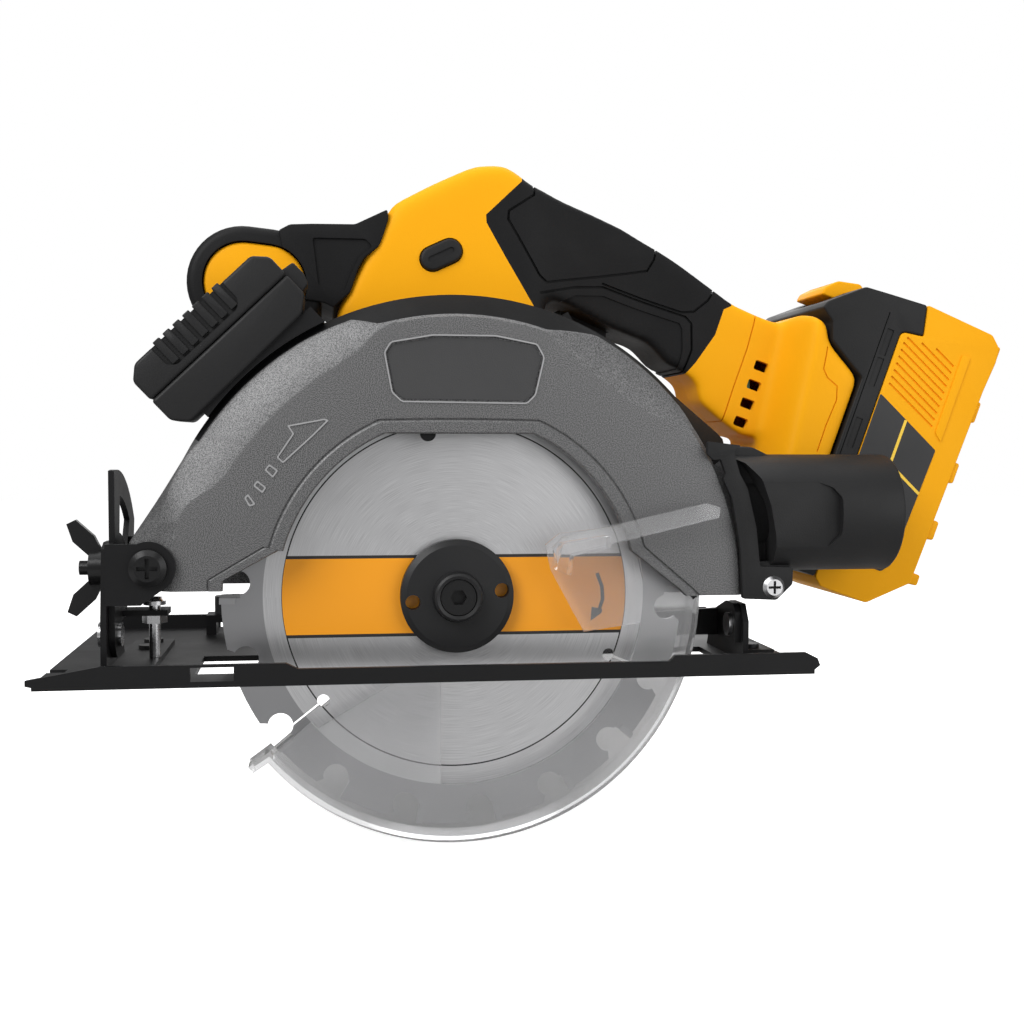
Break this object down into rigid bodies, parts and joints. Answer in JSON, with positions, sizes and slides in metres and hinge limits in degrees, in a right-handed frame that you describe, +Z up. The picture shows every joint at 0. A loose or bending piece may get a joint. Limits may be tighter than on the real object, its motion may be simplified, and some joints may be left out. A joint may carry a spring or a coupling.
{
  "type": "circular saw",
  "caption": "Cordless circular saw with a toothed blade, metal upper guard, clear swinging lower guard, tilting base plate, dust outlet, top handle and slide-on battery.",
  "frame": {"origin": "on the underside of the base plate, level with the arbor along X and 40 mm from the blade plane towards the motor", "axes": "+X to the rear (battery), +Y to the motor side, +Z up; the base underside is z = 0 and the blade plane is y = -0.040 m"},
  "size_m": [0.3581, 0.1357, 0.2435],
  "materials": {
    "black_steel": "satin black coating",
    "plated_steel": "bright zinc plate",
    "black_hardware": "black oxide",
    "guard_metal": "speckled dark grey metallic paint",
    "clear_plastic": "clear moulded polycarbonate",
    "blade_steel": "ground and brushed, with a printed band",
    "carbide": "ground carbide",
    "flange_black": "satin black",
    "orange_plastic": "fine moulded texture",
    "black_plastic": "fine moulded texture",
    "grip_rubber": "soft matt overmould",
    "gear_alloy": "die cast",
    "shaft_steel": "ground",
    "windings": "enamelled copper on laminations",
    "board_green": "printed circuit board",
    "cell_wrap": "shrink sleeve",
    "lens_red": "tinted lens"
  },
  "bodies": {
    "base": {"base_plate": "black_steel", "front_base_bracket": "black_steel", "rear_base_bracket": "black_steel", "bevel_pivot_rivets": "plated_steel", "base_rivets": "black_hardware", "bevel_stud": "black_hardware", "guide_clamp": "black_steel"},
    "wing_nut": {"bevel_wing_nut": "black_hardware"},
    "guide_knob": {"guide_screw": "black_plastic"},
    "bevel_frame": {"front_swivel_bracket": "black_steel", "rear_swivel_bracket": "black_steel", "depth_arm": "black_steel", "bevel_stop_screw": "plated_steel"},
    "saw": {"upper_guard": "guard_metal", "depth_pivot_screw": "black_hardware", "depth_bolt": "plated_steel", "guard_return_spring": "plated_steel", "dust_port": "black_plastic", "dust_port_screw": "plated_steel", "spindle_bearings": "shaft_steel", "gear_housing": "gear_alloy", "motor_bearings": "shaft_steel", "motor_stator": "windings", "motor_barrel": "orange_plastic", "motor_end_cap": "black_plastic", "main_housing_right": "orange_plastic", "main_housing_left": "orange_plastic", "housing_screws": "black_hardware", "grip_right": "grip_rubber", "grip_left": "grip_rubber", "trigger_switch": "black_plastic", "control_board": "board_green", "terminal_block": "black_plastic", "battery_rails": "black_plastic", "front_handle_sleeve": "grip_rubber", "front_handle_core": "orange_plastic", "light_box_upper": "black_plastic", "light_box_lower": "black_plastic", "light_box_bracket": "black_steel", "light_lens": "lens_red"},
    "depth_lock": {"depth_lever": "black_plastic"},
    "guard_swing": {"lower_guard": "clear_plastic"},
    "blade_set": {"saw_blade": "blade_steel", "carbide_tips": "carbide", "inner_flange": "flange_black", "outer_flange": "flange_black", "arbor_bolt": "black_hardware", "spindle": "shaft_steel", "spindle_gear": "shaft_steel"},
    "rotor": {"motor_shaft": "shaft_steel", "motor_rotor": "shaft_steel", "cooling_fan": "black_plastic"},
    "trigger_key": {"trigger": "black_plastic"},
    "lock_off": {"lock_off_button": "black_plastic"},
    "spindle_lock": {"spindle_lock_button": "black_plastic"},
    "battery": {"battery_tray": "black_plastic", "battery_cover": "orange_plastic", "battery_cells": "cell_wrap", "battery_board": "board_green"},
    "latch": {"battery_latch": "orange_plastic"}
  },
  "joints": [
    {"name": "bevel_tilt", "type": "hinge", "parent": "base", "child": "bevel_frame", "pos_m": [0, -0.04, 0.0144], "axis": [1, 0, 0], "range_deg": [0, 45]},
    {"name": "depth_swing", "type": "hinge", "parent": "bevel_frame", "child": "saw", "pos_m": [-0.1044, -0.04, 0.0384], "axis": [0, -1, 0], "range_deg": [0, 28]},
    {"name": "wing_nut_turn", "type": "hinge", "parent": "base", "child": "wing_nut", "pos_m": [-0.123, -0.04, 0.0374], "axis": [-1, 0, 0], "range_deg": [0, 170]},
    {"name": "guide_screw_turn", "type": "hinge", "parent": "base", "child": "guide_knob", "pos_m": [-0.083, 0.05, 0.0144], "axis": [0, 0, 1], "range_deg": [0, 340]},
    {"name": "depth_lever_turn", "type": "hinge", "parent": "saw", "child": "depth_lock", "pos_m": [0.0605, -0.018, 0.03264], "axis": [0, -1, 0], "range_deg": [0, 50]},
    {"name": "lower_guard_swing", "type": "hinge", "parent": "saw", "child": "guard_swing", "pos_m": [0, -0.04, 0.0264], "axis": [0, -1, 0], "range_deg": [0, 112], "stiffness_Nm_per_rad": 0.12, "springref_deg": -57.3},
    {"name": "blade_spin", "type": "hinge", "parent": "saw", "child": "blade_set", "pos_m": [0, -0.04, 0.0264], "axis": [0, 1, 0], "continuous": true},
    {"name": "rotor_spin", "type": "hinge", "parent": "saw", "child": "rotor", "pos_m": [0.008, 0.02, 0.0501], "axis": [0, 1, 0], "continuous": true},
    {"name": "trigger_pull", "type": "slide", "parent": "saw", "child": "trigger_key", "axis": [0, 0, 1], "range_m": [0, 0.005], "stiffness_N_per_m": 500, "springref_m": -0.004},
    {"name": "lock_off_press", "type": "slide", "parent": "saw", "child": "lock_off", "axis": [0, 1, 0], "range_m": [0, 0.003], "stiffness_N_per_m": 600, "springref_m": -0.002},
    {"name": "spindle_lock_press", "type": "slide", "parent": "saw", "child": "spindle_lock", "axis": [1, 0, 0], "range_m": [0, 0.003], "stiffness_N_per_m": 800, "springref_m": -0.002},
    {"name": "battery_slide", "type": "slide", "parent": "saw", "child": "battery", "axis": [0.3355, 0, 0.9421], "range_m": [0, 0.08]},
    {"name": "latch_press", "type": "slide", "parent": "battery", "child": "latch", "axis": [-0.3355, 0, -0.9421], "range_m": [0, 0.003], "stiffness_N_per_m": 900, "springref_m": -0.002}
  ],
  "couplings": [
    {"joint": "rotor_spin", "follows": "blade_spin", "ratio": -3}
  ]
}
